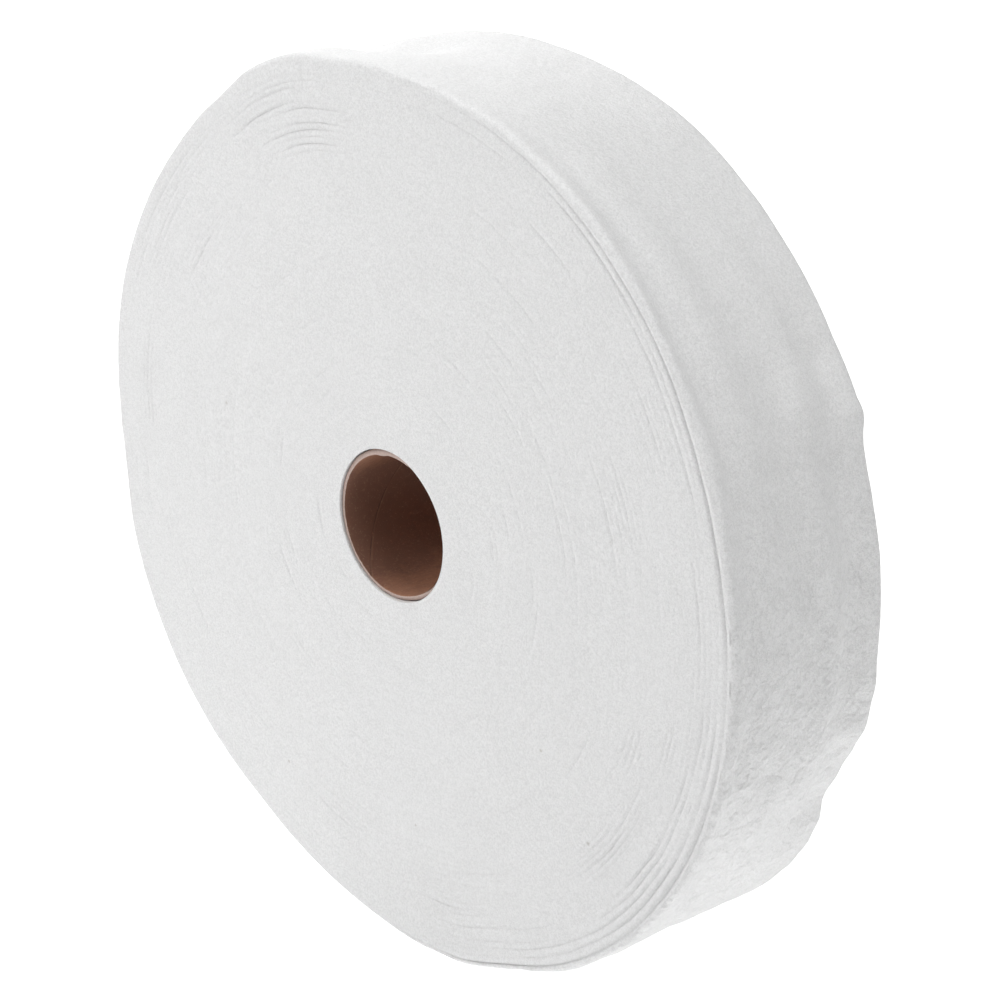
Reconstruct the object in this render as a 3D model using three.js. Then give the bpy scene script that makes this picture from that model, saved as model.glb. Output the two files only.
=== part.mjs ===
// A roll of batting strip, wound on a paper core and standing on its edge.
//
// Millimetres, Z up. The roll's axis runs along Y, so the front face looks along -Y and the back face
// along +Y. The origin lies on the ground, straight below the middle of the core.
// A clock angle is read on the front face, in degrees anticlockwise from +X: 0 is right and 90 is up.

import * as THREE from 'three';
import { mergeVertices } from 'three/addons/utils/BufferGeometryUtils.js';

// ---------------------------------------------------------------------------------------------------
// Driving dimensions

const STRIP_WIDTH = 57.15; // a 2 1/4 in strip
const ROLL_RADIUS = 132.2; // the mean radius of the outermost turn
const CORE_DIAMETER = 44.45; // a 1 3/4 in tube
const CORE_WALL = 1.6;
const CORE_SETBACK = 0.5; // each end of the tube lies this far inside the cloth's cut edge
const CORE_GAP = 0.3; // between the tube and the first turn of cloth
const FLAT_SPOT_DEPTH = 0.2; // how far the ground presses the round edge flat
const EDGE_ROUND = 2.8; // the radius of the soft edge between a face and the band

const CLOTH_STEPS = 120; // facets round the cloth
const TUBE_STEPS = 72; // facets round the tube
const FACE_RINGS = 7; // rows of points across each face
const RING_CROWDING = 1.5; // over 1, the rings lie closer towards the outer edge
const EDGE_STEPS = 3; // facets round each soft edge
const BAND_ROWS = 10; // facets across the band

// Crests and hollows of the two edges, as millimetres above the mean radius at a clock angle. The edge runs
// in a soft S from each row to the next.
const FRONT_EDGE = [
  { clock: -173, rise: -1.0 },
  { clock: -160, rise: 2.1 },
  { clock: -145, rise: 2.4 },
  { clock: -116, rise: -1.0 },
  { clock: -97, rise: 0.4 },
  { clock: -82, rise: 1.8 },
  { clock: -69, rise: 0.6 },
  { clock: -57, rise: 2.0 },
  { clock: -28, rise: 2.4 },
  { clock: 8, rise: -0.1 },
  { clock: 40, rise: 2.6 },
  { clock: 68, rise: -0.6 },
  { clock: 97, rise: 0.3 },
  { clock: 109, rise: 2.7 },
  { clock: 122, rise: 0.3 },
  { clock: 145, rise: 0.2 },
  { clock: 161, rise: 0.8 },
];
const BACK_EDGE = [
  { clock: -172, rise: -0.6 },
  { clock: -150, rise: 0.9 },
  { clock: -118, rise: -0.8 },
  { clock: -92, rise: 0.9 },
  { clock: -74, rise: 1.0 },
  { clock: -53, rise: 3.3 },
  { clock: -41, rise: 3.6 },
  { clock: -28, rise: -1.1 },
  { clock: -17, rise: 1.8 },
  { clock: -5, rise: 0.1 },
  { clock: 4, rise: 0.7 },
  { clock: 13, rise: 0.0 },
  { clock: 20, rise: 2.6 },
  { clock: 33, rise: 0.9 },
  { clock: 58, rise: 0.4 },
  { clock: 87, rise: -1.7 },
  { clock: 112, rise: -0.4 },
  { clock: 150, rise: 0.6 },
];

// Soft folds that run clockwise round the band, each from one clock angle and depth behind the front face
// to another. A positive rise is a ridge and a negative one a trough.
const BAND_FOLDS = [
  { startClock: 64, startDepth: 6, endClock: 33, endDepth: 6, halfWidth: 4, rise: -0.8 },
  { startClock: 10, startDepth: 6, endClock: -20, endDepth: 6, halfWidth: 4, rise: -0.7 },
  { startClock: 64, startDepth: 13, endClock: 12, endDepth: 19, halfWidth: 5, rise: 0.7 },
  { startClock: 50, startDepth: 36, endClock: 26, endDepth: 36, halfWidth: 6, rise: 0.8 },
  { startClock: 16, startDepth: 34, endClock: -26, endDepth: 37, halfWidth: 6, rise: 0.9 },
  { startClock: 32, startDepth: 44, endClock: -34, endDepth: 43, halfWidth: 7, rise: -1.6 },
  { startClock: 122, startDepth: 26, endClock: 82, endDepth: 30, halfWidth: 18, rise: -2.0 },
  { startClock: -60, startDepth: 26, endClock: -74, endDepth: 30, halfWidth: 9, rise: 0.7 },
  { startClock: -128, startDepth: 34, endClock: 166, endDepth: 26, halfWidth: 8, rise: -0.9 },
];

// Shallow places on the two faces where turns have slipped out (positive) or in (negative).
const FACE_WAVES = [
  { face: 'front', clock: 176, halfTurn: 52, radius: 76, halfWidth: 17, rise: -0.5 },
  { face: 'front', clock: 138, halfTurn: 40, radius: 101, halfWidth: 15, rise: -0.5 },
  { face: 'front', clock: 112, halfTurn: 26, radius: 124, halfWidth: 14, rise: 0.6 },
  { face: 'front', clock: -4, halfTurn: 44, radius: 90, halfWidth: 18, rise: -0.4 },
  { face: 'front', clock: -38, halfTurn: 34, radius: 118, halfWidth: 12, rise: -0.7 },
  { face: 'back', clock: 60, halfTurn: 60, radius: 84, halfWidth: 20, rise: -0.6 },
  { face: 'back', clock: -110, halfTurn: 55, radius: 104, halfWidth: 18, rise: -0.5 },
  { face: 'back', clock: 160, halfTurn: 45, radius: 70, halfWidth: 18, rise: 0.5 },
];

// ---------------------------------------------------------------------------------------------------
// Values worked out from the dimensions

const axisHeight = ROLL_RADIUS - FLAT_SPOT_DEPTH;
const tubeLength = STRIP_WIDTH - 2 * CORE_SETBACK;
// The facets of a bore cut inside its true circle, so this one is opened until they clear the tube.
const boreRadius = (CORE_DIAMETER / 2 + CORE_GAP) / Math.cos(Math.PI / CLOTH_STEPS);

// ---------------------------------------------------------------------------------------------------
// Small helpers

const softStep = (share) => share * share * (3 - 2 * share);
const softBump = (share) => 0.5 + 0.5 * Math.cos(Math.PI * Math.min(Math.abs(share), 1));
const between = (start, end, share) => start + (end - start) * share;
const turnFrom = (start, clock) => (((clock - start) % 360) + 360) % 360;
const turnAway = (clock, other) => Math.min(turnFrom(clock, other), turnFrom(other, clock));

// ---------------------------------------------------------------------------------------------------
// The cloth's form, as rises at a clock angle and a depth behind the front face

function edgeRise(rows, clock) {
  const next = rows.findIndex((row) => row.clock > clock);
  const after = rows[Math.max(next, 0)];
  const before = rows.at(next < 1 ? -1 : next - 1);
  const share = turnFrom(before.clock, clock) / turnFrom(before.clock, after.clock);
  return between(before.rise, after.rise, softStep(share));
}

function foldRise(fold, clock, depth) {
  const share = turnFrom(clock, fold.startClock) / turnFrom(fold.endClock, fold.startClock);
  if (share > 1) return 0;
  const middle = between(fold.startDepth, fold.endDepth, share);
  return fold.rise * Math.sin(Math.PI * share) * softBump((depth - middle) / fold.halfWidth);
}

function bandRise(clock, depth) {
  const share = softStep(depth / STRIP_WIDTH);
  const edges = between(edgeRise(FRONT_EDGE, clock), edgeRise(BACK_EDGE, clock), share);
  return BAND_FOLDS.reduce((rise, fold) => rise + foldRise(fold, clock, depth), edges);
}

function faceRise(face, clock, radius) {
  return FACE_WAVES.filter((wave) => wave.face === face).reduce((rise, wave) => {
    const alongTurn = softBump(turnAway(clock, wave.clock) / wave.halfTurn);
    return rise + wave.rise * alongTurn * softBump((radius - wave.radius) / wave.halfWidth);
  }, 0);
}

// ---------------------------------------------------------------------------------------------------
// Sections and solids

// The closed section of a plain ring, as a lathe turns it: x is the radius and y runs along the axis.
function clothSection() {
  const half = STRIP_WIDTH / 2;
  const flatRadius = ROLL_RADIUS - EDGE_ROUND;
  const flatHalf = half - EDGE_ROUND;
  const frontHalf = [];
  for (let ring = 0; ring < FACE_RINGS; ring += 1) {
    const share = 1 - (1 - ring / FACE_RINGS) ** RING_CROWDING;
    frontHalf.push(new THREE.Vector2(between(boreRadius, flatRadius, share), -half));
  }
  for (let step = 0; step <= EDGE_STEPS; step += 1) {
    const turn = (Math.PI / 2) * (step / EDGE_STEPS);
    const outwards = flatRadius + EDGE_ROUND * Math.sin(turn);
    frontHalf.push(new THREE.Vector2(outwards, -flatHalf - EDGE_ROUND * Math.cos(turn)));
  }
  const band = [];
  for (let row = 1; row < BAND_ROWS; row += 1) {
    band.push(new THREE.Vector2(ROLL_RADIUS, between(-flatHalf, flatHalf, row / BAND_ROWS)));
  }
  const backHalf = frontHalf.map((point) => new THREE.Vector2(point.x, -point.y)).reverse();
  return [...frontHalf, ...band, ...backHalf, frontHalf[0].clone()];
}

// A lathe leaves a seam, so its doubled points are joined before anything else is done.
function turned(section, steps) {
  const lathe = new THREE.LatheGeometry(section, steps);
  lathe.deleteAttribute('normal');
  lathe.deleteAttribute('uv');
  return mergeVertices(lathe);
}

function buildBattingRoll() {
  const geometry = turned(clothSection(), CLOTH_STEPS);
  const points = geometry.getAttribute('position');
  const reach = ROLL_RADIUS - boreRadius;
  for (let index = 0; index < points.count; index += 1) {
    const radius = Math.hypot(points.getX(index), points.getZ(index));
    const turn = Math.atan2(points.getZ(index), points.getX(index));
    const clock = THREE.MathUtils.radToDeg(turn);
    const along = points.getY(index);
    // The inner turns stay round, and the turns take up the lumps of the outside little by little.
    const share = ((radius - boreRadius) / reach) ** 2;
    const lumpy = radius + share * bandRise(clock, along + STRIP_WIDTH / 2);
    const face = along < 0 ? 'front' : 'back';
    const outwards = Math.abs(along) < STRIP_WIDTH / 2 - EDGE_ROUND ? 0 : faceRise(face, clock, radius);
    const height = Math.max(lumpy * Math.sin(turn), -axisHeight);
    points.setXYZ(index, lumpy * Math.cos(turn), along + Math.sign(along) * outwards, height);
  }
  geometry.computeVertexNormals();
  return geometry;
}

function buildCoreTube() {
  const outer = CORE_DIAMETER / 2;
  const inner = outer - CORE_WALL;
  const half = tubeLength / 2;
  const corners = [[inner, -half], [outer, -half], [outer, half], [inner, half], [inner, -half]];
  const geometry = turned(corners.map(([x, y]) => new THREE.Vector2(x, y)), TUBE_STEPS);
  geometry.computeVertexNormals();
  return geometry;
}

// ---------------------------------------------------------------------------------------------------
// The object

const batting = new THREE.MeshStandardMaterial({ color: '#e9e9e9', roughness: 0.95, metalness: 0 });
const kraftPaper = new THREE.MeshStandardMaterial({ color: '#8a5f42', roughness: 0.8, metalness: 0 });

function piece(name, geometry, material) {
  const mesh = new THREE.Mesh(geometry, material);
  mesh.name = name;
  return mesh;
}

const roll = new THREE.Group();
roll.position.z = axisHeight;
roll.add(piece('batting_roll', buildBattingRoll(), batting));
roll.add(piece('core_tube', buildCoreTube(), kraftPaper));

export default roll;
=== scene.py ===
# %% [markdown]
# # A roll of batting strip
# The real thing is some 27 metres of soft needled batting, a strip two and a quarter inches wide, wound
# on a paper core and stood on its edge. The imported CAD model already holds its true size: one solid for
# the wound cloth and one for the core. This lesson dresses that frame. The cloth is made again with its
# single turns, the core gets its spiral seam and cut ends, and both get a finish of their own.

# %% The frame
import math
from functools import lru_cache

import bmesh
import bpy
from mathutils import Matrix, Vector, noise


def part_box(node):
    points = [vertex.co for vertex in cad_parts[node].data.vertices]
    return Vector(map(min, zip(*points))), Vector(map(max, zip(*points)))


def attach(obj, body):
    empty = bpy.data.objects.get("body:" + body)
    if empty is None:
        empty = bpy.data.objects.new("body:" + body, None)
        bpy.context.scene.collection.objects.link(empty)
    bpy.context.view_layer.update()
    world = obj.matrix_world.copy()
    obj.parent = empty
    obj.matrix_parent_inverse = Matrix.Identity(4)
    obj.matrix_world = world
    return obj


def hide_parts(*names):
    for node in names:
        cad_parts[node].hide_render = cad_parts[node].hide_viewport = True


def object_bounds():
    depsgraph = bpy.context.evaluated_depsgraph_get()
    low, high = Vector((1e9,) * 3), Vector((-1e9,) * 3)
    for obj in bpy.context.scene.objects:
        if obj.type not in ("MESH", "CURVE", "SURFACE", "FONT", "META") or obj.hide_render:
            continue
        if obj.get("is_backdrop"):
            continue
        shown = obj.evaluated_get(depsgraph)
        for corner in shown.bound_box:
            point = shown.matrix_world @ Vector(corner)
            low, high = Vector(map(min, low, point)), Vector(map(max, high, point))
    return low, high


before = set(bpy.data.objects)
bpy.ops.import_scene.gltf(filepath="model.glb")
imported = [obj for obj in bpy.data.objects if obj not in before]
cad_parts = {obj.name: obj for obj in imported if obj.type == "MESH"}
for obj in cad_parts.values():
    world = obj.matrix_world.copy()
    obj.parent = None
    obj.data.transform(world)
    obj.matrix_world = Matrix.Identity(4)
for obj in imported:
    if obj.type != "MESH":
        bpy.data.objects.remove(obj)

MM = 0.001
WELD = 0.001 * MM  # points closer than this become one
cad_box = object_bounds()
core_low, core_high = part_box("core_tube")
core_radius = (core_high.x - core_low.x) / 2
axis_height = (core_high.z + core_low.z) / 2
CORE_SETBACK = 0.5 * MM  # each end of the core lies this far inside the cloth's cut edge
strip_width = core_high.y - core_low.y + 2 * CORE_SETBACK
front_y = -strip_width / 2
print("core", round(core_radius / MM, 2), "mm, strip", round(strip_width / MM, 2), "mm")

# %% [markdown]
# ## The camera
# The camera comes first, so that every later step can be looked at. It stands to the right of the roll
# and above it. Its place is measured from the middle of the front face, and it looks along a compass
# angle and down a tilt, which is how a photographer would describe it.

# %% The camera
CAMERA_FROM_FACE = Vector((0.5757, -0.4848, 0.3240))  # metres, from the middle of the front face
LOOK_AZIMUTH = math.radians(47.56)
LOOK_DOWN = math.radians(22.79)
CAMERA_LENS = 104.8

look = Vector((-math.sin(LOOK_AZIMUTH), math.cos(LOOK_AZIMUTH), -math.tan(LOOK_DOWN)))
camera = bpy.data.objects.new("camera", bpy.data.cameras.new("camera"))
camera.data.lens = CAMERA_LENS
camera.location = Vector((0, front_y, axis_height)) + CAMERA_FROM_FACE
camera.rotation_euler = look.to_track_quat("-Z", "Y").to_euler()
bpy.context.scene.collection.objects.link(camera)
bpy.context.scene.camera = camera
print("camera at", [round(value, 3) for value in camera.location])

# %% [markdown]
# ## How the strip is wound
# A roll isn't a stack of nested rings: it is one long spiral. A point on a face is known by how many
# turns have been wound before it, and that number gives its distance from the axis. The first turn
# starts as a thin wedge against the core, and the last one runs out as a thin wedge under the roll, so
# the spiral begins and ends in a true circle.

# %% The winding
ROLL_RADIUS = 131.7 * MM  # of the outermost turn
CORE_GAP = 0.3 * MM
LIP_ROUND = 1.6 * MM  # the round of the outermost turn's two edges
TURNS = 57
TAIL_CLOCK = -128.0  # where the strip ends, as a clock angle

bore_radius = core_radius + CORE_GAP
lip_radius = ROLL_RADIUS - LIP_ROUND
turn_pitch = (lip_radius - bore_radius) / (TURNS - 1)


def spiral_radius(turns):
    """The distance from the axis after this many turns."""
    if turns <= 1:
        return bore_radius
    if turns >= TURNS:
        return lip_radius
    if turns > TURNS - 1:
        return lip_radius - turn_pitch * (TURNS - turns) ** 1.5
    return bore_radius + (turns - 1) * turn_pitch


print("one turn adds", round(turn_pitch / MM, 2), "mm")

# %% [markdown]
# ## Uneven edges and soft folds
# Nobody winds a soft strip evenly. Its two edges bulge and sink by a millimetre or three on their way
# round, and the outside has a few long soft folds. These are short tables, in millimetres and degrees:
# a clock angle is read on the front face, anticlockwise from the right. A fold strays a little from its
# line, and its height comes and goes. The CAD solid has the same bulges in a plainer form, so the
# dressed roll lies where the solid is.

# %% The tables of the outline
FRONT_EDGE = (  # clock, rise
    (-173, -1.0), (-160, 2.1), (-145, 2.4), (-116, -1.0), (-100, -0.8), (-84, 0.8),
    (-77, 1.5), (-69, 0.6), (-57, 2.0), (-28, 2.2), (12, -0.3), (38, 1.2), (60, 1.6),
    (84, 0.0), (97, 0.3), (109, 2.8), (116, 2.3), (124, 0.3), (138, -0.4), (150, 0.2), (161, 0.8),
)
BACK_EDGE = (  # clock, rise
    (-172, -0.6), (-150, 0.9), (-118, -0.8), (-92, 0.9), (-74, 1.0), (-53, 3.3),
    (-41, 4.0), (-36, 3.4), (-31.5, 2.0), (-27.5, -1.2), (-22, -1.0), (-18.5, -0.1), (-14.5, 1.4),
    (-10, 0.8), (-5, -0.4), (4, -0.3), (12, -0.7), (17, -0.7),
    (19.6, -0.4), (23.5, 1.7), (26.5, 2.0), (33, 0.9), (58, 0.4), (87, -1.7), (112, -0.4), (150, 0.6),
)
BAND_FOLDS = (  # start clock and depth, end clock and depth, half width, rise
    (88, 1.5, -44, 1.5, 4.5, 0.9),
    (84, 7, -36, 9, 6, -1.3),
    (80, 15, -16, 17, 8, 0.7),
    (70, 26, -10, 27, 10, -0.6),
    (56, 36, -46, 36, 7, 1.6),
    (52, 47, -44, 47, 7, -2.4),
    (30, 55, -32, 56, 5, 1.0),
    (-8, 25, -38, 24, 4.5, 0.9),
    (122, 26, 82, 30, 18, -3.4),
    (-60, 26, -74, 30, 9, 0.7),
    (-128, 34, 166, 26, 8, -0.9),
    (170, 12, 128, 14, 6, 0.8),
    (-84, 14, -122, 10, 6, 0.7),
    (150, 47, 100, 49, 7, -0.9),
    (-96, 45, -150, 47, 7, -0.8),
)
FOLD_STRAY = 3.5  # mm that a fold strays to either side of its line
FOLD_STRAY_TURN = 14  # degrees in which it strays once
FOLD_UNEVENNESS = 0.7
FOLD_NOISE_FROM = -360  # where in the noise the folds are read, in degrees
NOTCH_CLOCK = -21  # here the back edge has a notch, which stays near the back
NOTCH_HALF_TURN = 26
NOTCH_STEEPNESS = 2.5
FACE_WAVES = (  # face, clock, half turn, radius, half width, rise
    ("front", 176, 52, 76, 22, -0.25),
    ("front", 138, 40, 101, 18, -0.25),
    ("front", 112, 26, 124, 14, 0.5),
    ("front", -4, 44, 90, 22, -0.2),
    ("front", -38, 34, 118, 14, -0.5),
    ("back", 60, 60, 84, 20, -0.6),
    ("back", -110, 55, 104, 18, -0.5),
    ("back", 160, 45, 70, 18, 0.5),
)


def soft_step(share):
    """Runs from 0 to 1 in a soft S, and stays there outside."""
    share = min(max(share, 0.0), 1.0)
    return share * share * (3 - 2 * share)


def soft_bump(offset):
    """1 in the middle, down to 0 at an offset of 1 either way."""
    return 0.5 + 0.5 * math.cos(math.pi * min(abs(offset), 1.0))


def between(low, high, share):
    """The value at a share of the way from low to high."""
    return low + (high - low) * share


def turn_from(start, clock):
    """Degrees anticlockwise from one clock angle to another."""
    return (clock - start) % 360


def turn_away(clock, other):
    """The shorter way between two clock angles."""
    way = turn_from(clock, other)
    return min(way, 360 - way)


@lru_cache(maxsize=None)
def along_table(table, clock):
    """Reads a closed table of clock angles and values, in a soft S from row to row."""
    rows = sorted(table, key=lambda row: turn_from(row[0], clock))
    before, after = rows[0], rows[-1]
    share = turn_from(before[0], clock) / turn_from(before[0], after[0])
    return between(before[1], after[1], soft_step(share))


def fold_rise(fold, clock, depth):
    """How far one fold lifts the outside at a clock angle and a depth behind the front face, in mm."""
    start_clock, start_depth, end_clock, end_depth, half_width, rise = fold
    along = turn_from(clock, start_clock)
    share = along / turn_from(end_clock, start_clock)
    if share > 1:
        return 0.0
    place = Vector(((start_clock - along + FOLD_NOISE_FROM) / FOLD_STRAY_TURN, start_depth, 0.5))
    middle = between(start_depth, end_depth, share) + FOLD_STRAY * noise.noise(place)
    rise *= 1 + FOLD_UNEVENNESS * noise.noise(place * 1.7)
    return rise * soft_bump(2 * share - 1) * soft_bump((depth - middle) / half_width)


# %% [markdown]
# ## Where single turns show
# Near the rim the turns lie looser, so the gaps between them open into thin wavy lines, strongest at the
# lower right and below the bump at the top. The gap just inside the outermost turn is the clearest of
# all. Further in only a faint line is left, apart from a few turns that have slipped. Each of these is a
# row with a place and a depth, so that any one of them can be found and changed.

# %% The tables of the turns
LIP_GAP = (  # clock, depth of the gap inside the outermost turn
    (96, 0.05), (84, 0.15), (60, 0.4), (42, 0.8), (30, 1.3), (14, 1.1), (6, 0.5), (0, 0.25), (-8, 0.2),
    (-14, 0.5), (-34, 0.65), (-43, 0.35), (-50, 0.6), (-70, 0.7), (-84, 0.25), (-100, 0.06), (-120, 0.02),
    (150, 0.02),
)
LIP_PUFF = (  # clock, how far the outermost turn swells away from the next one
    (140, 0.1), (116, 0.8), (92, 0.1), (60, 0.0), (40, 0.3), (18, 0.8), (2, 0.7), (-20, 0.9),
    (-34, 0.9), (-42, 0.4), (-57, 0.7), (-72, 0.2), (-100, 0.0), (180, 0.0),
)
LIP_SPREAD = (  # clock, how far the outer turns draw in where they are wound loosest
    (60, 0.3), (20, 1.6), (-20, 2.0), (-50, 1.9), (-80, 0.8), (-120, 0.2), (160, 0.0),
)
SPREAD_FADE_TURNS = 10
LOOSE_TURNS = (  # face, clock, half turn, turns in from the rim, half spread in turns, gap depth, waver
    ("front", 112, 14, 2.4, 1.2, 0.30, 0.5),
    ("front", 113, 15, 4.1, 0.8, 0.30, 0.5),
    ("front", 116, 12, 5.4, 1.0, 0.45, 0.5),
    ("front", 106, 11, 6.5, 0.9, 0.60, 0.4),
    ("front", 107, 11, 9.2, 1.6, 0.55, 0.4),
    ("front", 108, 11, 11.6, 2.2, 0.40, 0.4),
    ("front", 145, 8, 13.6, 0.8, 0.30, 0.4),
    ("front", 131, 16, 3.0, 3.5, 0.07, 0.5),
    ("front", 143, 14, 12.0, 3.0, 0.15, 0.4),
    ("front", 174, 14, 8.4, 2.2, 0.30, 0.4),
    ("front", 27, 13, 2.1, 1.2, 0.35, 0.4),
    ("front", 20, 12, 17.0, 4.0, 0.14, 0.3),
    ("front", 44, 22, 1.6, 0.9, 0.12, 0.2),
    ("front", 38, 12, 2.4, 0.8, 0.35, 0.3),
    ("front", 2, 12, 3.5, 3.0, 0.09, 0.3),
    ("front", -12, 10, 1.2, 0.5, 0.40, 0.3),
    ("front", -10, 7, 3.3, 1.2, 0.30, 0.6),
    ("front", -40, 28, 1.26, 0.5, 0.44, 0.5),
    ("front", -38, 16, 2.26, 0.6, 0.52, 0.7),
    ("front", -36, 15, 3.26, 0.6, 0.54, 0.7),
    ("front", -32, 8, 4.3, 0.8, 0.40, 0.7),
    ("front", -20, 8, 4.0, 1.6, 0.22, 0.5),
    ("front", -60, 18, 1.8, 1.6, 0.28, 0.4),
    ("front", -19, 6, 14.8, 3.4, 0.19, 0.4),
    ("front", -14, 5, 8.5, 2.5, 0.15, 0.5),
    ("front", -38, 14, 11.0, 5.0, 0.20, 0.4),
    ("front", -80, 16, 9.0, 13.0, 0.20, 0.3),
    ("front", -104, 14, 14.0, 8.0, 0.12, 0.3),
    ("back", 84, 26, 2.6, 1.2, 0.35, 0.5),
    ("back", 66, 18, 5.0, 1.6, 0.25, 0.4),
    ("back", -30, 24, 3.4, 1.4, 0.45, 0.6),
    ("back", -46, 14, 6.2, 1.2, 0.25, 0.5),
    ("back", 170, 24, 2.6, 1.6, 0.30, 0.4),
    ("back", -120, 14, 11.0, 2.0, 0.25, 0.3),
)
SLIPPED_TURNS = (  # face, clock, half turn, turns in from the rim, step
    ("front", 172, 34, 28.5, 0.16),
    ("front", 165, 24, 35.5, 0.14),
    ("front", 146, 20, 16.5, 0.22),
    ("front", 178, 22, 17.5, 0.15),
    ("front", 8, 20, 17.5, 0.10),
    ("front", 0, 26, 22.5, 0.08),
    ("front", -2, 20, 36.5, 0.10),
    ("back", 40, 36, 20.5, 0.20),
    ("back", -60, 40, 31.5, 0.20),
    ("back", 150, 30, 12.5, 0.20),
)
COLLAR = (  # clock, how much the first turns stand out and lean in over the front end of the core
    (-130, 0.0), (-75, 0.1), (-50, 0.5), (0, 0.6), (50, 0.5), (80, 0.1), (150, 0.0),
)
COLLAR_STAND, COLLAR_LEAN = 0.5, 0.25  # shares of the value above
COLLAR_WIDTH = 12 * MM
COLLAR_LEAN_TURNS = 1.5
COLLAR_LIP = 0.3 * MM
TIGHT_GAP = 0.025  # between turns near the core
OPEN_GAP = 0.06  # between turns near the rim
LONE_GAP = 0.35  # in the few short places where two turns part on their own
GAP_FADE_TURNS = 12  # over which the one passes into the other
SLIP = 0.04  # how far single turns stand out or in
TURN_NOISE = {"front": 0.5, "back": 9.5}  # where in the noise each face reads its turns


def strip_slip(position, face):
    """How far the strip's edge wanders out of the face, along its length in turns."""
    return SLIP * noise.noise(Vector((position * 2.7, 4.1, TURN_NOISE[face])))


@lru_cache(maxsize=None)
def rows_here(table, face, clock):
    """The rows that reach this clock angle on a face: the strength there, then the rest of the row."""
    reach = [(soft_bump(turn_away(clock, middle) / half_turn), *rest)
             for row_face, middle, half_turn, *rest in table if row_face == face]
    return [row for row in reach if row[0] > 0]


# %% [markdown]
# ## Creases pressed into the cloth
# A few short marks cross the turns: a pressed crease above the core, and on the outside the crease that
# runs in from a tooth of the far edge. Each is a line between two points, with a soft section.

# %% The creases
FACE_CREASES = (  # from across and up, to across and up, half width, rise
    (-13, 83, 2, 59, 2.4, 0.24),
    (-9, 68, -6, 62, 4.0, -0.24),
    (-28, 86, -14, 82, 2.5, -0.12),
)
BAND_CREASES = (  # from clock and depth, to clock and depth, half width, rise
    (17.5, 50, 25, 26, 5.0, -0.9),
    (24, 57, 24.5, 51, 5.0, 1.1),
    (8.5, 26, 6, 30, 5.0, -1.1),
    (-30, 11, -36, 14, 7.0, -1.3),
    (2, 16, 1, 19, 4.0, -0.7),
    (-4, 36, -12, 34, 4.0, -0.5),
    (34, 54, 28, 46, 4.0, -0.7),
)
FACE_CREASE_REACH = 40  # mm from a crease's start, beyond which it is left out
BAND_CREASE_REACH = 50  # degrees, likewise


def crease_rise(point, start, end, half_width, rise):
    """The rise of a soft line from start to end, which fades out towards both."""
    way = end - start
    share = min(max((point - start).dot(way) / way.length_squared, 0.0), 1.0)
    nearest = start + way * share
    fade = soft_bump(2 * share - 1) if way.length > 3 * half_width else 1.0
    return rise * fade ** 0.5 * soft_bump((point - nearest).length / half_width)


def face_crease_rise(across, up):
    """The creases of the front face, in mm, at a place measured from the axis."""
    total = 0.0
    for from_across, from_up, to_across, to_up, half_width, rise in FACE_CREASES:
        if max(abs(across - from_across), abs(up - from_up)) < FACE_CREASE_REACH:
            start, end = Vector((from_across, from_up)), Vector((to_across, to_up))
            total += crease_rise(Vector((across, up)), start, end, half_width, rise)
    return total


def band_crease_rise(clock, depth):
    """The creases of the outside, in mm, as if it were unrolled into a flat band."""
    total, per_degree = 0.0, math.radians(1) * ROLL_RADIUS / MM
    for from_clock, from_depth, to_clock, to_depth, half_width, rise in BAND_CREASES:
        if turn_away(clock, from_clock) <= BAND_CREASE_REACH:
            past_start = (clock - from_clock + 180) % 360 - 180
            point = Vector((past_start * per_degree, depth))
            end = Vector(((to_clock - from_clock) * per_degree, to_depth))
            total += crease_rise(point, Vector((0, from_depth)), end, half_width, rise)
    return total


# %% [markdown]
# ## Laying each point
# The mesh will start as a plain ring whose rows are only counted. These functions say where a counted
# point really lies. On a face a point is a ring number and a clock angle; every turn has three rings,
# one in the gap and two on the shoulders of the cut edge. First come the sizes, and how far the outside
# stands out.

# %% Laying the outside
RINGS_PER_TURN = 3
RING_PHASES = (0.0, 0.16, 0.84)  # the gap, then the two shoulders, as shares of a turn
RINGS = TURNS * RINGS_PER_TURN
LIP_ROWS = 5
BAND_ROWS = 42
BORE_ROWS = 3
WIDTH = strip_width / MM


def laid(clock, radius, y):
    """A point in metres from sizes in mm, pressed flat where it would go below the ground."""
    angle = math.radians(clock)
    z = max(axis_height + radius * MM * math.sin(angle), 0.0)
    return Vector((radius * MM * math.cos(angle), y * MM, z))


@lru_cache(maxsize=None)
def band_rise(clock, depth):
    """How far the outside stands out at a clock angle and a depth behind the front face, in mm."""
    steepness = 1 + NOTCH_STEEPNESS * soft_bump(turn_away(clock, NOTCH_CLOCK) / NOTCH_HALF_TURN)
    back_share = soft_step(depth / WIDTH) ** steepness
    edges = between(along_table(FRONT_EDGE, clock), along_table(BACK_EDGE, clock), back_share)
    folds = sum(fold_rise(fold, clock, depth) for fold in BAND_FOLDS)
    return edges + folds + band_crease_rise(clock, depth)


# %% [markdown]
# ## Waves, gaps and slips of a face
# What a face does at one place is the sum of small heights: broad waves, the step beside a slipped turn,
# a pressed crease, the gap between two turns, and near the core the first turns standing a little over
# the paper. Looser turns also waver to and fro along the face.

# %% Laying a face
FACE_WAVE_SIZE = 26  # mm
FACE_WAVE_RISE = 0.22
FACE_WAVE_NOISE = {"front": 3.5, "back": 66.5}  # where in the noise each face reads its waves
GAP_UNEVENNESS = 0.7
WAVER_SIZE = 11  # mm
SLIP_STEP = 3  # turns over which a slipped turn's step rises
SLIP_REACH = 5  # turns to either side, where the step has died away


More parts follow.
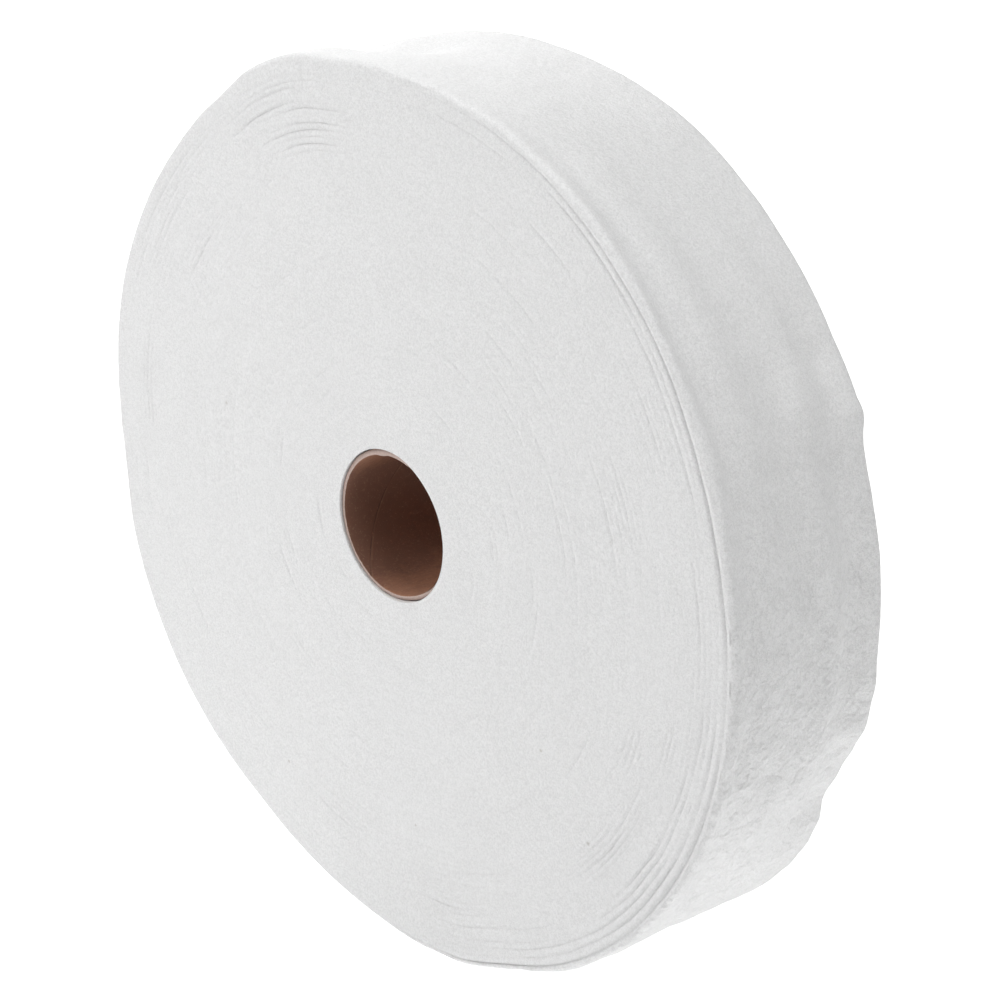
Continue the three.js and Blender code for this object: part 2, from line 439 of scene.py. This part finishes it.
def gap_depth(face, turns, clock):
    """The depth of the gap between two turns, in mm."""
    turns_in = TURNS - turns
    if turns_in < 1:
        return along_table(LIP_GAP, clock)
    depth = between(OPEN_GAP, TIGHT_GAP, soft_step(turns_in / GAP_FADE_TURNS))
    for strength, middle, spread, opened, _ in rows_here(LOOSE_TURNS, face, clock):
        depth += strength * opened * soft_bump((turns_in - middle) / spread)
    angle = math.radians(clock)
    patchy = noise.noise(Vector((turns * 1.9, math.cos(angle) * 3, math.sin(angle) * 3)))
    return depth * (1 + GAP_UNEVENNESS * patchy) + LONE_GAP * max(patchy - 0.25, 0.0)


def face_swell(face, clock, radius):
    """How far the broad waves of a face stand out at this clock angle and radius, in mm."""
    angle = math.radians(clock)
    across, up = radius * math.cos(angle), radius * math.sin(angle)
    place = Vector((across / FACE_WAVE_SIZE, up / FACE_WAVE_SIZE, FACE_WAVE_NOISE[face]))
    swell = FACE_WAVE_RISE * noise.noise(place)
    for strength, middle, half_width, rise in rows_here(FACE_WAVES, face, clock):
        swell += strength * rise * soft_bump((radius - middle) / half_width)
    return swell


def slip_rise(face, turns_in, clock):
    """The steps beside slipped turns, in mm."""
    total = 0.0
    for strength, middle, step in rows_here(SLIPPED_TURNS, face, clock):
        past = turns_in - middle
        total += strength * step * (0.5 - soft_step(past / SLIP_STEP + 0.5)) * soft_bump(past / SLIP_REACH)
    return total


# %% [markdown]
# A turn has two shoulders with a gap between it and the next one. The gap lies below the mean of the
# shoulders beside it, and both fade out at the core and at the rim, where the face has to meet the inner
# wall and the outside in a clean line. The shifts along the face are added last.

# %% A point of a face
GAP_FADE_IN = 0.15  # turns from the rim
SHOULDER_FADE_IN = 0.3
PUFF_TURNS = 3
SPREAD_FROM_TURN = 4


def ring_rise(face, ring, column_share, clock, turns):
    """How far one ring of a turn stands out: a shoulder wanders, a gap lies below its two shoulders."""
    position = ring // RINGS_PER_TURN + column_share
    turns_in = TURNS - turns
    if RING_PHASES[ring % RINGS_PER_TURN]:
        rise, fade_turns = strip_slip(position, face), SHOULDER_FADE_IN
    else:
        shoulders = (strip_slip(position - 1, face) + strip_slip(position, face)) / 2
        rise, fade_turns = shoulders - gap_depth(face, turns, clock), GAP_FADE_IN
    return rise * soft_step(turns - 1) * soft_step(turns_in / fade_turns)


def loose_shift(face, turns, clock, across, up):
    """How far a loosely wound turn lies outward of its even place, in mm."""
    turns_in = TURNS - turns
    waver = 0.0
    for strength, middle, spread, _, sway in rows_here(LOOSE_TURNS, face, clock):
        place = Vector((across / WAVER_SIZE, up / WAVER_SIZE, turns * 0.3 + TURN_NOISE[face]))
        waver += strength * sway * noise.noise(place) * soft_bump((turns_in - middle) / spread)
    puff = along_table(LIP_PUFF, clock) * soft_bump(max(turns_in - 1, 0) / PUFF_TURNS)
    puff *= soft_step(turns_in / SHOULDER_FADE_IN)
    if face == "front":
        past_spread = max(turns_in - SPREAD_FROM_TURN, 0)
        drawn_in = soft_step(turns_in / SPREAD_FROM_TURN) * soft_bump(past_spread / SPREAD_FADE_TURNS)
        puff += along_table(LIP_SPREAD, clock) * drawn_in
    return waver * soft_step(turns_in / 1.5) - puff


def face_point(face, ring, column_share, clock):
    turns = ring // RINGS_PER_TURN + RING_PHASES[ring % RINGS_PER_TURN] + column_share
    radius = spiral_radius(turns) / MM
    angle = math.radians(clock)
    across, up = radius * math.cos(angle), radius * math.sin(angle)
    rise = face_swell(face, clock, radius) + slip_rise(face, TURNS - turns, clock)
    rise += ring_rise(face, ring, column_share, clock, turns)
    shift = loose_shift(face, turns, clock, across, up)
    if face == "front":
        rise += face_crease_rise(across, up)
        collar = along_table(COLLAR, clock)
        rise += COLLAR_STAND * collar * soft_bump((radius * MM - bore_radius) / COLLAR_WIDTH)
        shift -= COLLAR_LEAN * collar * soft_bump(max(turns - 1, 0) / COLLAR_LEAN_TURNS)
    out_share = (radius * MM - bore_radius) / (ROLL_RADIUS - bore_radius)
    radius += out_share ** 2 * band_rise(clock, 0 if face == "front" else WIDTH) + shift
    y = front_y / MM - rise if face == "front" else -front_y / MM + rise
    return laid(clock, radius, y)


# %% [markdown]
# ## The outside and the bore
# The outside has a row of points for every millimetre or so of its width, with closer rows where it
# turns over into each face. Besides its folds it has small soft lumps, a little higher on the lower
# half, where the cloth carries the roll's weight. The inner wall lies on the core.

# %% Laying the band and the bore
SWELL_FADE = 9.0  # mm of the outside over which a face's waves die away
LUMPS = ((24, 0.30), (8, 0.22))  # size and height, in mm
LOW_LUMPS = 0.9  # how much higher they are low down, as a share
LOW_LUMPS_FADE = 80  # mm


def band_place(row):
    """The depth of a row behind the front face and how far in from the outside it lies, in mm."""
    round_mm = LIP_ROUND / MM
    if row <= LIP_ROWS:
        quarter = math.pi / 2 * row / LIP_ROWS
        return round_mm * (1 - math.cos(quarter)), round_mm * (1 - math.sin(quarter))
    if row >= BAND_ROWS - LIP_ROWS:
        depth, inset = band_place(BAND_ROWS - row)
        return WIDTH - depth, inset
    share = (row - LIP_ROWS) / (BAND_ROWS - 2 * LIP_ROWS)
    return between(round_mm, WIDTH - round_mm, share), 0.0


@lru_cache(maxsize=None)
def rim_swell(face, clock):
    return face_swell(face, clock, lip_radius / MM)


def band_point(row, clock):
    depth, inset = band_place(row)
    radius = ROLL_RADIUS / MM - inset
    angle = math.radians(clock)
    place = Vector((radius * math.cos(angle), depth, radius * math.sin(angle)))
    lumps = sum(height * noise.noise(place / size) for size, height in LUMPS)
    lumps *= 1 + LOW_LUMPS * soft_step(0.5 - place.z / LOW_LUMPS_FADE)
    stand = 1 - inset / (LIP_ROUND / MM)
    radius += band_rise(clock, depth) + stand * lumps
    y = front_y / MM + depth - rim_swell("front", clock) * soft_bump(depth / SWELL_FADE)
    y += rim_swell("back", clock) * soft_bump((WIDTH - depth) / SWELL_FADE)
    return laid(clock, radius, y)


def bore_point(row, clock, lip_y):
    """A point on the wall that lies on the core; none on the last row, where the front face begins."""
    if row == BORE_ROWS:
        return None
    return laid(clock, bore_radius / MM, 0.0 if row == 1 else lip_y / MM)


# %% [markdown]
# ## The wound cloth
# Spinning one section round the axis would give nested rings. Instead a flat grid of counted points is
# laid on the roll: its columns go once round, and its rows go out over the front face, across the
# outside and back over the far face. After one turn every ring lies one turn further out, so the end of
# each ring meets the start of the next, and merging the points that coincide closes the spiral.
# Columns are crowded on the side with the most detail.

# %% The wound cloth
COLUMNS = 256
SECTION_POINTS = RINGS + BAND_ROWS + RINGS + BORE_ROWS
COLUMN_CROWDING = 20.0  # degrees by which columns are drawn towards the crowded side
CROWDED_CLOCK = 30.0


def column_clock(column):
    """The clock angle of a column, counted clockwise from the strip's end."""
    even = 360 * column / COLUMNS
    crowd = turn_from(CROWDED_CLOCK, TAIL_CLOCK)
    drawn = math.sin(math.radians(even - crowd)) + math.sin(math.radians(crowd))
    return TAIL_CLOCK - even + COLUMN_CROWDING * drawn


def lay_counted(step, column):
    """Where a counted point lies on the roll, and its turns, gap and outside marks."""
    share, clock = column / COLUMNS, column_clock(column)
    if RINGS < step < RINGS + BAND_ROWS:
        return band_point(step - RINGS, clock), (TURNS, 0.0, 1.0)
    if step > 2 * RINGS + BAND_ROWS:
        front_lip = face_point("front", 0, share, clock)
        inside = bore_point(step - 2 * RINGS - BAND_ROWS, clock, front_lip.y + COLLAR_LIP)
        return (inside or front_lip), (0.0, 0.0, 0.0)
    face, ring = ("front", step) if step <= RINGS else ("back", 2 * RINGS + BAND_ROWS - step)
    phase = RING_PHASES[ring % RINGS_PER_TURN]
    turns = min(ring // RINGS_PER_TURN + phase + share, TURNS)
    in_gap = 1.0 if phase == 0 and 1 <= turns < TURNS else 0.0
    return face_point(face, ring, share, clock), (turns, in_gap, 0.0)


def build_wound_cloth():
    ring = bmesh.new()
    marks = [ring.verts.layers.float.new(name) for name in ("turns", "gap", "outside")]
    bmesh.ops.create_grid(ring, x_segments=SECTION_POINTS, y_segments=COLUMNS, size=0.5)
    for point in ring.verts:
        step = round((point.co.x + 0.5) * SECTION_POINTS)
        column = round((point.co.y + 0.5) * COLUMNS)
        point.co, values = lay_counted(step, column)
        for mark, value in zip(marks, values):
            point[mark] = value
    bmesh.ops.remove_doubles(ring, verts=ring.verts, dist=WELD)
    bmesh.ops.recalc_face_normals(ring, faces=ring.faces)
    for face in ring.faces:
        face.smooth = True
    open_edges = sum(len(edge.link_faces) != 2 for edge in ring.edges)
    litres = ring.calc_volume() * 1000
    print("wound cloth:", len(ring.faces), "faces,", open_edges, "open edges,", round(litres, 3), "litres")
    mesh = bpy.data.meshes.new("wound_batting")
    ring.to_mesh(mesh)
    ring.free()
    return bpy.data.objects.new("wound_batting", mesh)


wound_batting = build_wound_cloth()
bpy.context.scene.collection.objects.link(wound_batting)
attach(wound_batting, "root")
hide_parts("batting_roll")

# %% [markdown]
# ## The paper core
# The core is a tube of brown kraft paper, wound in a spiral and glued. It is a small section spun right
# round, with softly broken edges. The cut ends are a little ragged, the front one was cut a little
# askew, and there the innermost ply has come loose for a few degrees and hangs into the bore.

# %% The paper core
CORE_WALL = 1.45 * MM
BORE_SHIFT = Vector((-0.3, 0, -0.3)) * MM  # the wall is thicker at the upper right
CORE_COLUMNS = 240
CORE_ROWS = 30
CORE_EDGE = 0.25 * MM
CORE_END = (  # clock, how much further in the front end was cut
    (-170, 0.0), (-110, 0.0), (-88, 0.3), (-66, 1.2), (-45, 1.9), (0, 1.7), (50, 1.5), (85, 0.6), (130, 0.1),
)
LOOSE_PLY_CLOCK = 102.5  # where the innermost ply hangs in at the front end
LOOSE_PLY_HALF_TURN = 9.5
LOOSE_PLY_HANG = 0.4 * MM
CUT_ROUGHNESS = 0.10  # mm
CUT_ROUGH_SIZES = (3 * MM, 0.9 * MM)
SHARP_ANGLE = 1.0  # radians between two faces, above which their edge is broken


def on_bore(point):
    return math.hypot(point.x, point.z - axis_height) < core_radius - CORE_WALL / 2


def core_end_shape(point):
    """Moves a point near an end of the core to where the ragged cut leaves it."""
    clock = math.degrees(math.atan2(point.z - axis_height, point.x))
    cut = CUT_ROUGHNESS * (1 + sum(noise.noise(point / size) for size in CUT_ROUGH_SIZES))
    moved = point.copy()
    if point.y < 0:
        cut += along_table(CORE_END, clock)
        if on_bore(point):
            toward_axis = Vector((-point.x, 0, axis_height - point.z)).normalized()
            strength = soft_bump((clock - LOOSE_PLY_CLOCK) / LOOSE_PLY_HALF_TURN)
            moved += toward_axis * LOOSE_PLY_HANG * strength
    moved.y -= math.copysign(cut * MM, point.y)
    return moved


def build_paper_core():
    tube = bmesh.new()
    inner, outer = core_radius - CORE_WALL, core_radius
    low, high = core_low.y, core_high.y
    corners = [tube.verts.new((x, y, axis_height))
               for x, y in ((inner, low), (outer, low), (outer, high), (inner, high))]
    edges = [tube.edges.new((corners[at], corners[(at + 1) % 4])) for at in range(4)]
    bmesh.ops.subdivide_edges(tube, edges=[edges[1], edges[3]], cuts=CORE_ROWS)
    bmesh.ops.spin(tube, geom=tube.verts[:] + tube.edges[:], cent=(0, 0, axis_height), axis=(0, 1, 0),
                   angle=math.tau, steps=CORE_COLUMNS, use_merge=True)
    bmesh.ops.remove_doubles(tube, verts=tube.verts, dist=WELD)
    bmesh.ops.recalc_face_normals(tube, faces=tube.faces)
    sharp = [edge for edge in tube.edges if edge.calc_face_angle(0.0) > SHARP_ANGLE]
    bmesh.ops.bevel(tube, geom=sharp, offset=CORE_EDGE, segments=2, affect="EDGES", profile=0.5, material=-1)
    cut_end = tube.faces.layers.float.new("cut_end")
    tube.normal_update()
    for face in tube.faces:
        face[cut_end] = soft_step((abs(face.normal.y) - 0.35) / 0.35)
        face.smooth = True
    for point in tube.verts:
        if on_bore(point.co):
            point.co += BORE_SHIFT
        if abs(point.co.y) > core_high.y - 2 * CORE_EDGE:
            point.co = core_end_shape(point.co)
    open_edges = sum(len(edge.link_faces) != 2 for edge in tube.edges)
    print("paper core:", len(tube.faces), "faces,", open_edges, "open edges")
    mesh = bpy.data.meshes.new("paper_core")
    tube.to_mesh(mesh)
    tube.free()
    return bpy.data.objects.new("paper_core", mesh)


paper_core = build_paper_core()
bpy.context.scene.collection.objects.link(paper_core)
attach(paper_core, "root")
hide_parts("core_tube")

# %% [markdown]
# ## Shader maths as expressions
# A finish is a small graph of nodes. Two short classes keep it readable: a Number wraps one socket, so
# that `1 - mask` or `fine * 0.5 + coarse` add their own Math nodes, and a Finish makes every other node
# from its type, its settings and the values or links of its sockets.

# %% The shader helpers
class Number:
    """A number that varies over a surface."""

    def __init__(self, finish, socket):
        self.finish, self.socket = finish, socket

    def output(self, name):
        """Another output of the same node."""
        return Number(self.finish, self.socket.node.outputs[name])

    def maths(self, operation, first, second=0.0, clamp=False):
        settings = {"operation": operation, "use_clamp": clamp}
        return self.finish.node("ShaderNodeMath", settings, {0: first, 1: second})

    def __add__(self, other):
        return self.maths("ADD", self, other)

    def __sub__(self, other):
        return self.maths("SUBTRACT", self, other)

    def __rsub__(self, other):
        return self.maths("SUBTRACT", other, self)

    def __mul__(self, other):
        return self.maths("MULTIPLY", self, other)

    def __truediv__(self, other):
        return self.maths("DIVIDE", self, other)

    def __pow__(self, other):
        return self.maths("POWER", self, other)

    __radd__ = __add__
    __rmul__ = __mul__

    def clamped(self):
        return self.maths("ADD", self, clamp=True)

    def absolute(self):
        return self.maths("ABSOLUTE", self)


class Finish:
    """A material that is being put together."""

    def __init__(self, name):
        self.material = bpy.data.materials.new(name)
        self.material.use_nodes = True
        self.tree = self.material.node_tree
        self.tree.nodes.clear()

    def node(self, kind, settings=None, sockets=None, output=0):
        made = self.tree.nodes.new(kind)
        for name, value in (settings or {}).items():
            setattr(made, name, value)
        for name, value in (sockets or {}).items():
            if isinstance(value, Number):
                self.tree.links.new(value.socket, made.inputs[name])
            else:
                made.inputs[name].default_value = value
        return Number(self, made.outputs[output]) if made.outputs else made

    def place(self):
        return self.node("ShaderNodeTexCoord", output="Object")

    def attribute(self, name):
        return self.node("ShaderNodeAttribute", {"attribute_name": name}, {}, "Fac")

    def from_axis(self, place):
        """How far a place lies across, along, above and altogether from the roll's axis."""
        across = self.node("ShaderNodeSeparateXYZ", {}, {"Vector": place}, "X")
        along, up = across.output("Y"), across.output("Z") - axis_height
        return across, along, up, (across * across + up * up) ** 0.5

    def seen(self):
        """1 where the eye sees this straight on, in a mirror or through glass."""
        straight = self.node("ShaderNodeLightPath", output="Is Camera Ray")
        mirrored, through = straight.output("Is Glossy Ray"), straight.output("Is Transmission Ray")
        return (straight + mirrored + through).clamped()

    def stretched(self, vector, scale):
        return self.node("ShaderNodeMapping", {}, {"Vector": vector, "Scale": scale})

    def noise(self, vector, scale, detail=2.0, rough=0.5):
        sockets = {"Vector": vector, "Scale": scale, "Detail": detail, "Roughness": rough}
        return self.node("ShaderNodeTexNoise", {}, sockets, "Fac")

    def ramp(self, value, low, high, to_low=0.0, to_high=1.0):
        sockets = {"Value": value, "From Min": low, "From Max": high, "To Min": to_low, "To Max": to_high}
        return self.node("ShaderNodeMapRange", {"interpolation_type": "SMOOTHSTEP"}, sockets)

    def mixed(self, share, low, high):
        """A colour between two others."""
        return self.node("ShaderNodeMix", {"data_type": "RGBA"}, {0: share, 6: low, 7: high}, 2)

    def finished(self, sockets, height, distance, strength):
        """Adds the relief and the shader, and hands over the material."""
        relief = {"Height": height, "Distance": distance, "Strength": strength}
        sockets["Normal"] = self.node("ShaderNodeBump", {}, relief)
        shader = self.node("ShaderNodeBsdfPrincipled", {}, sockets)
        self.node("ShaderNodeOutputMaterial", {}, {"Surface": shader})
        return self.material


# %% [markdown]
# ## The finish of the batting
# Batting is a felted web of white curly fibres. Close to, fine crossing lines catch the light; from
# further off they become a soft mottle. Along a face the web is denser in some turns than in others,
# which draws faint arcs, and small shadows sit in the gaps. From a little above the axis down, the
# outside has been rubbed, so its clumps stand out more. The cloth has no gloss, only the sheen of fibre
# ends against the light. A few specks of seed husk were left in by the carding.

# %% The batting's relief and tone
WEB_SCALE = 1100.0  # cells per metre
WEB_BEND = 0.004  # how far the cells' straight walls are bent into curls
RUBBED_FROM, RUBBED_TO = 60 * MM, 0.0  # heights above the axis between which the rubbing grows
RUBBED_LESS_FROM, RUBBED_LESS_TO = -15 * MM, -60 * MM  # and between which it falls to half again


def curly_web(finish, place):
    """The fibres: thin walls between bent cells."""
    bend = finish.node("ShaderNodeTexNoise", {}, {"Vector": place, "Scale": 480.0, "Detail": 0.0}, "Color")
    bent = finish.node("ShaderNodeVectorMath", {"operation": "MULTIPLY_ADD"},
                       {0: bend, 1: (WEB_BEND, WEB_BEND, WEB_BEND), 2: place})
    sockets = {"Vector": bent, "Scale": WEB_SCALE}
    cells = finish.node("ShaderNodeTexVoronoi", {"feature": "DISTANCE_TO_EDGE"}, sockets, "Distance")
    return finish.ramp(cells, 0.0, 0.22, 1.0, 0.0)


def along_turns(finish, across, up, reach, around, per_turn, detail, rough):
    """Noise that runs along the turns: one size is set round the axis, the other from turn to turn."""
    sockets = {"X": across / reach * around, "Y": up / reach * around,
               "Z": finish.attribute("turns") * per_turn}
    return finish.noise(finish.node("ShaderNodeCombineXYZ", {}, sockets), 1.0, detail, rough)


def batting_relief(finish, place):
    """The tone and the height of the web, each as a number."""
    across, _, up, reach = finish.from_axis(place)
    fine = finish.noise(place, 2600.0, 1.0, 0.6)
    grain = finish.noise(place, 1150.0, 2.0, 0.6)
    clumps = finish.noise(place, 420.0)
    lumps = finish.noise(place, 190.0)
    mottle = finish.noise(place, 90.0)
    arcs = along_turns(finish, across, up, reach, 3.0, 0.9, 3.0, 0.6)
    streaks = along_turns(finish, across, up, reach, 26.0, 1.3, 1.0, 0.5)
    shadows = finish.ramp(streaks, 0.53, 0.72) * finish.attribute("gap") ** 2.0
    outside = finish.attribute("outside")
    less = finish.ramp(up, RUBBED_LESS_FROM, RUBBED_LESS_TO)
    rubbed = (finish.ramp(up, RUBBED_FROM, RUBBED_TO) - less * 0.5) * outside
    tone = ((mottle - 0.5) * (rubbed + 0.15) + (clumps - 0.5) * (rubbed * 0.8 + 0.25) + (grain - 0.5) * 1.75
            + (fine - 0.5) * (rubbed + 2.45) + (arcs - 0.5) * 0.18 - shadows * 0.30 + 0.55)
    height = ((grain * 0.44 + fine * 0.19) * (rubbed * 0.5 + 1) + curly_web(finish, place) * 0.08
              + (clumps - 0.5) * (outside * 0.55 + rubbed * 1.8 + 0.10)
              + (lumps - 0.5) * (outside * 1.0 + rubbed * 3.8) - shadows * 0.12)
    return tone.clamped(), height


# %% [markdown]
# The heights above are shares of one relief depth. Clumps and lumps are counted from their middle, so
# that they don't raise the outside as a whole: a step in height would draw a dark line round the rim.

# %% The batting's finish
BATTING_WHITE = (0.94, 0.94, 0.94, 1)
BATTING_SHADE = (0.80, 0.80, 0.80, 1)
BATTING_RELIEF = 0.5 * MM
HUSK = (0.42, 0.38, 0.33, 1)
HUSKS = (  # across and up from the axis on the front face, radius, strength
    (81, -68, 0.8, 0.45), (62, -47, 0.7, 0.45), (-75, 16, 0.8, 0.4), (-50, -94, 0.7, 0.4),
    (9, -92, 0.6, 0.4), (-126, 26, 0.8, 0.15),
)


def batting_finish():
    finish = Finish("needled_batting")
    place = finish.place()
    tone, height = batting_relief(finish, place)
    colour = finish.mixed(tone, BATTING_SHADE, BATTING_WHITE)
    for across, up, radius, strength in HUSKS:
        middle = (across * MM, front_y, axis_height + up * MM)
        away = finish.node("ShaderNodeVectorMath", {"operation": "DISTANCE"}, {0: place, 1: middle}, "Value")
        husk = finish.ramp(away, 0.3 * radius * MM, radius * MM, strength, 0.0)
        colour = finish.mixed(husk, colour, HUSK)
    sockets = {"Base Color": colour, "Roughness": 0.95, "Sheen Weight": 0.5, "Sheen Roughness": 0.5,
               "Specular IOR Level": 0.1}
    return finish.finished(sockets, height, BATTING_RELIEF, 0.9)


wound_batting.data.materials.append(batting_finish())

# %% [markdown]
# ## The finish of the core
# Kraft paper is brown, with short fibres that lie along its web and lighter flecks between them. The
# core was wound from such a web in a slanting spiral, so one thin seam runs round inside it like the
# stripe of a barber's pole: a dark line where the plies meet, and a paler one where the upper ply's edge
# catches the light. At the cut ends the fibres are torn open, which leaves the paper pale and rough;
# towards its outer edge a cut end is darker, partly from its darker outer plies and partly as a
# painted shadow of the narrow gap to the cloth.

# %% The seam
SEAM_PITCH = 87 * MM  # how far the seam climbs in one turn
SEAM_CLOCK = -115.0  # where it meets the front end
SEAM_HALF = 0.28 * MM
PLY_EDGE_AT = 2.2 * SEAM_HALF  # how far the upper ply's edge lies beside the seam
WHOLE_TURNS = 10.5  # keeps the count of turns positive, with the seam in the middle of each


def seam_lines(finish, across, along, up):
    """The seam and the ply's edge beside it: 1 on each line, 0 off it."""
    clock = up.maths("ARCTAN2", up, across) / math.tau
    climbed = (along - front_y) / SEAM_PITCH + clock - SEAM_CLOCK / 360
    counted = climbed + WHOLE_TURNS
    beside = (counted.maths("FRACT", counted) - 0.5) * SEAM_PITCH
    return [finish.ramp(off.absolute(), 0.3 * SEAM_HALF, SEAM_HALF, 1.0, 0.0)
            for off in (beside, beside - PLY_EDGE_AT)]


# %% [markdown]
# On the left wall of the bore, up to just above the axis, the paper is painted a little darker: painted
# shade, for the little light that reaches that wall. The cut ends carry a mark of their own in the mesh,
# which tells the finish where the torn, pale paper begins.

# %% The paper's finish
KRAFT = (0.420, 0.210, 0.127, 1)
KRAFT_DARK = (0.215, 0.110, 0.075, 1)
KRAFT_FLECK = (0.46, 0.29, 0.19, 1)
SEAM_SHADOW = (0.05, 0.03, 0.02, 1)
CUT_PAPER = (0.60, 0.47, 0.42, 1)
# the outer edge of a cut end: darker outer plies, with a painted shadow of the gap to the cloth
CUT_PAPER_DARK = (0.32, 0.22, 0.19, 1)
PAPER_RELIEF = 0.12 * MM
PAINTED_SHADE_ACROSS = -17 * MM  # the painted shade is full this far to the left of the axis
PAINTED_SHADE_FROM, PAINTED_SHADE_TO = 15 * MM, 5 * MM  # heights above the axis between which it grows


def paper_finish():
    finish = Finish("kraft_paper")
    place = finish.place()
    across, along, up, reach = finish.from_axis(place)
    seam, ply_edge = seam_lines(finish, across, along, up)

    fibres = finish.noise(finish.stretched(place, (1.0, 0.4, 1.0)), 1300.0, 3.0, 0.65)
    flecks = finish.ramp(finish.noise(place, 1700.0, 1.0), 0.60, 0.74)
    cloud = finish.noise(place, 130.0, 3.0, 0.55)
    # painted shade: the left wall of the bore is darkened where little light reaches it
    left_wall_shade = finish.ramp(across, 0.0, PAINTED_SHADE_ACROSS) * finish.ramp(up, PAINTED_SHADE_FROM, PAINTED_SHADE_TO)
    tone = (fibres - 0.5) * 1.1 + (cloud - 0.5) * 0.9 + 0.5 - left_wall_shade * 0.7
    brown = finish.mixed(tone.clamped(), KRAFT_DARK, KRAFT)
    brown = finish.mixed(flecks * 0.35, brown, KRAFT_FLECK)
    broken = finish.ramp(cloud, 0.40, 0.55, 0.25, 1.0)
    brown = finish.mixed(seam * broken * 0.5, brown, SEAM_SHADOW)
    brown = finish.mixed(ply_edge * broken * 0.25, brown, KRAFT_FLECK)

    cut_end = finish.attribute("cut_end")
    torn = finish.noise(place, 1500.0, 3.0, 0.7)
    # darker towards the outer edge: partly the darker outer plies, partly a painted shadow of the gap to the
    # cloth
    ply_and_gap_shade = finish.ramp(reach, core_radius - 0.8 * CORE_WALL, core_radius, 0.1, 0.65)
    pale = finish.mixed((ply_and_gap_shade + (torn - 0.5) * 1.2).clamped(), CUT_PAPER, CUT_PAPER_DARK)
    colour = finish.mixed(cut_end, brown, pale)
    height = fibres + torn * cut_end * 1.5 - seam * 1.2 + ply_edge * 0.5
    sockets = {"Base Color": colour, "Roughness": 0.75, "Specular IOR Level": 0.3}
    return finish.finished(sockets, height, PAPER_RELIEF, 0.5)


paper_core.data.materials.append(paper_finish())

# %% [markdown]
# ## The floor
# The roll stands on a large white floor that runs out of sight. It is like a lit table: it has a little
# glow of its own to the eye, which brings it up to white, and a lamp below it shines through on the
# roll's underside. For that the floor throws no shadow. It still carries the shadow of the roll.

# %% The floor
FLOOR_HALF = 6.0
FLOOR_WHITE = (0.90, 0.90, 0.90, 1)
FLOOR_GLOW = 0.55


def build_floor():
    sheet = bmesh.new()
    bmesh.ops.create_grid(sheet, x_segments=1, y_segments=1, size=FLOOR_HALF)
    mesh = bpy.data.meshes.new("floor")
    sheet.to_mesh(mesh)
    sheet.free()
    return bpy.data.objects.new("floor", mesh)


def floor_finish():
    finish = Finish("white_floor")
    matt = finish.node("ShaderNodeBsdfDiffuse", {}, {"Color": FLOOR_WHITE})
    glow = finish.node("ShaderNodeEmission", {}, {"Strength": finish.seen() * FLOOR_GLOW})
    both = finish.node("ShaderNodeAddShader", {}, {0: matt, 1: glow})
    finish.node("ShaderNodeOutputMaterial", {}, {"Surface": both})
    return finish.material


floor = build_floor()
floor.data.materials.append(floor_finish())
bpy.context.scene.collection.objects.link(floor)
floor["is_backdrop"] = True
floor.visible_shadow = False

# %% [markdown]
# ## The background
# The eye sees the same white beyond the floor, so no horizon shows. The roll itself gets only a soft,
# even light from the far side, as from a pale wall. Bounced rays alone find it: were it aimed at, the
# part below the horizon would shine up through the floor, which throws no shadow.

# %% The background
WALL_LIGHT = 0.40
WALL_WAY = (-0.738, 0.674, 0.0)


class Surroundings(Finish):
    """The world, put together like a finish."""

    def __init__(self, name):
        self.world = bpy.data.worlds.new(name)
        self.world.use_nodes = True
        self.tree = self.world.node_tree
        self.tree.nodes.clear()


def studio_world():
    studio = Surroundings("studio")
    way = studio.node("ShaderNodeTexCoord", output="Generated")
    facing = studio.node("ShaderNodeVectorMath", {"operation": "DOT_PRODUCT"}, {0: way, 1: WALL_WAY}, "Value")
    light = studio.node("ShaderNodeBackground", {}, {"Strength": facing.clamped() * WALL_LIGHT})
    white = studio.node("ShaderNodeBackground", {}, {"Strength": 1.0})
    both = studio.node("ShaderNodeMixShader", {}, {0: studio.seen(), 1: light, 2: white})
    studio.node("ShaderNodeOutputWorld", {}, {"Surface": both})
    studio.world.cycles.sampling_method = "NONE"
    return studio.world


bpy.context.scene.world = studio_world()

# %% [markdown]
# ## The lamps
# Broad round lamps make the soft light: most of it from the left and above, one from the right that
# shades the folds of the outside, one far to the left behind the roll, and the one below the floor. A
# bounced ray would be stopped by the floor before it found the lowest lamp, and half its light would be
# lost. So the lamps are only aimed at directly, without multiple importance sampling.

# %% The lamps
LAMPS = (  # name, place, size, power
    ("lamp_above", (-0.1, 0.1, 1.5), 1.2, 4.2),
    ("lamp_above_right", (0.9, -0.04, 1.2), 0.8, 8.2),
    ("lamp_above_front", (0.0, -1.0, 1.3), 0.9, 4.7),
    ("lamp_left", (-1.2, -0.5, 0.7), 0.8, 5.4),
    ("lamp_front_left", (-0.8, -1.3, 1.0), 1.0, 7.8),
    ("lamp_left_behind", (-1.2, 0.9, 0.5), 1.0, 14.0),
    ("lamp_under", (0.2, 0.08, -1.3), 1.2, 11.8),
)
for name, lamp_place, size, power in LAMPS:
    light = bpy.data.lights.new(name, "AREA")
    light.shape = "DISK"
    light.size = size
    light.energy = power
    light.cycles.use_multiple_importance_sampling = False
    lamp = bpy.data.objects.new(name, light)
    lamp.location = lamp_place
    toward = Vector((0, 0, axis_height)) - Vector(lamp_place)
    lamp.rotation_euler = toward.to_track_quat("-Z", "Y").to_euler()
    bpy.context.scene.collection.objects.link(lamp)

bpy.context.scene.view_settings.view_transform = "Standard"

# %% [markdown]
# ## The sizes at the end
# Last, the box of the CAD model and the box of the dressed roll are written side by side.

# %% Sizes
dressed_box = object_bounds()
sizes = {"cad": [list(corner) for corner in cad_box], "dressed": [list(corner) for corner in dressed_box]}
for name, (low, high) in sizes.items():
    print(name, [round(value / MM, 2) for value in low], [round(value / MM, 2) for value in high])
